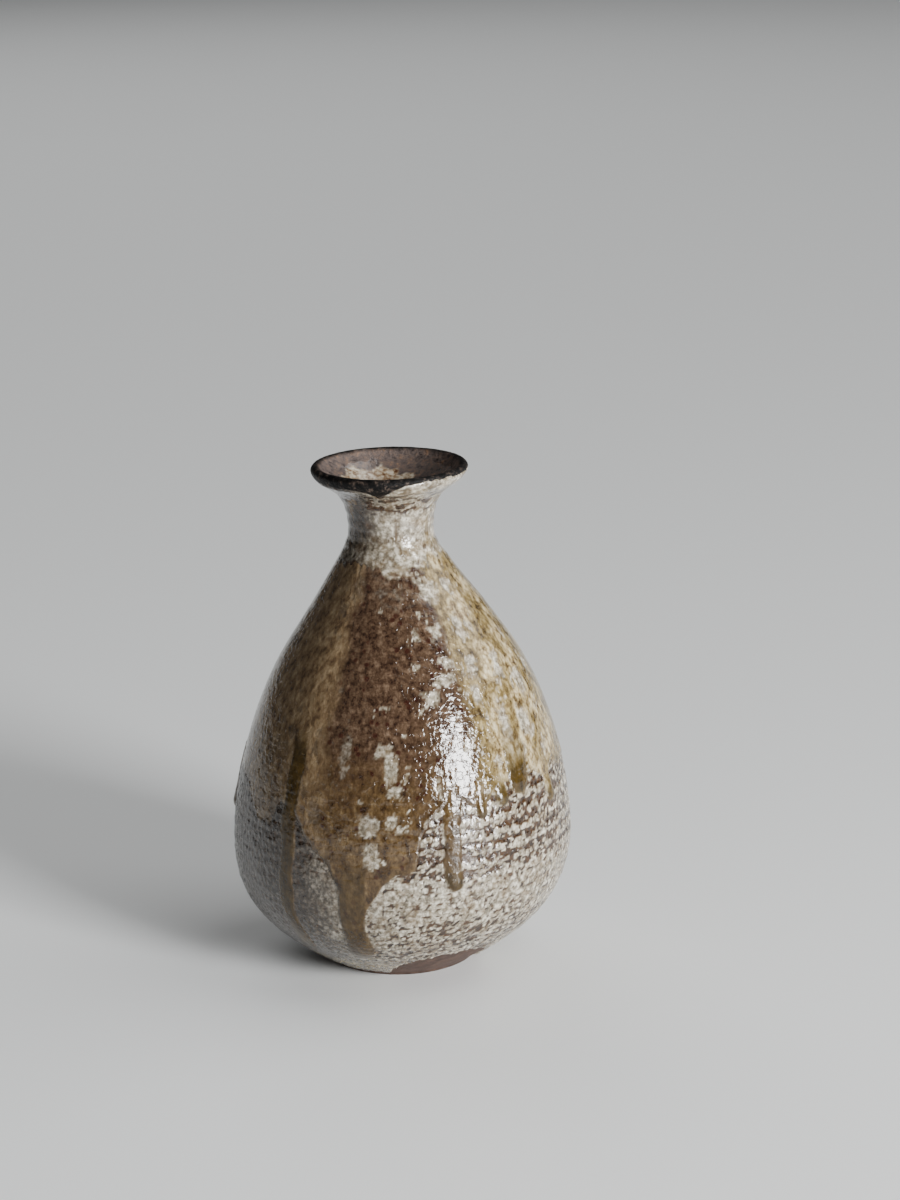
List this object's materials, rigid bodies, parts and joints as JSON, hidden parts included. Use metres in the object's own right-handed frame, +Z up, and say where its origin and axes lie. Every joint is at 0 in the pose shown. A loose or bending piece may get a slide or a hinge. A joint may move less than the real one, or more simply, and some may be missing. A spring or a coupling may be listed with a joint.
{
  "type": "sake bottle",
  "caption": "Thrown stoneware sake bottle with a teardrop belly, pinched neck, flared mouth, grainy white glaze and ash runs; holds and pours sake.",
  "frame": {"origin": "centre of the underside of the foot, on the surface that the bottle stands on", "axes": "+Z up along the bottle's axis, the side with the long front run faces -Y"},
  "size_m": [0.0804, 0.0814, 0.1192],
  "materials": {
    "bare_clay": "unglazed fired stoneware, matte, pinkish brown",
    "iron_glaze": "near-black iron band, half matte",
    "white_glaze": "glossy milky white, crawled into rows of grains that show brown clay between them",
    "lining_glaze": "glossy mottled cream and brown",
    "brown_ash_glaze": "glossy purple-brown with dark specks",
    "pale_ash_glaze": "glossy cream and olive, streaked",
    "run_glaze": "glassy amber-olive, darker where it is thick"
  },
  "bodies": {
    "root": {"foot_ring": "bare_clay", "belly_wall": "bare_clay", "neck": "bare_clay", "lip": "bare_clay", "rim_band": "iron_glaze", "outer_glaze": "white_glaze", "inner_glaze": "lining_glaze", "ash_mantle": "brown_ash_glaze", "pale_ash": "pale_ash_glaze", "front_run": "run_glaze", "left_run": "run_glaze", "short_run": "run_glaze", "ash_drops": "run_glaze", "back_runs": "run_glaze"}
  },
  "joints": []
}
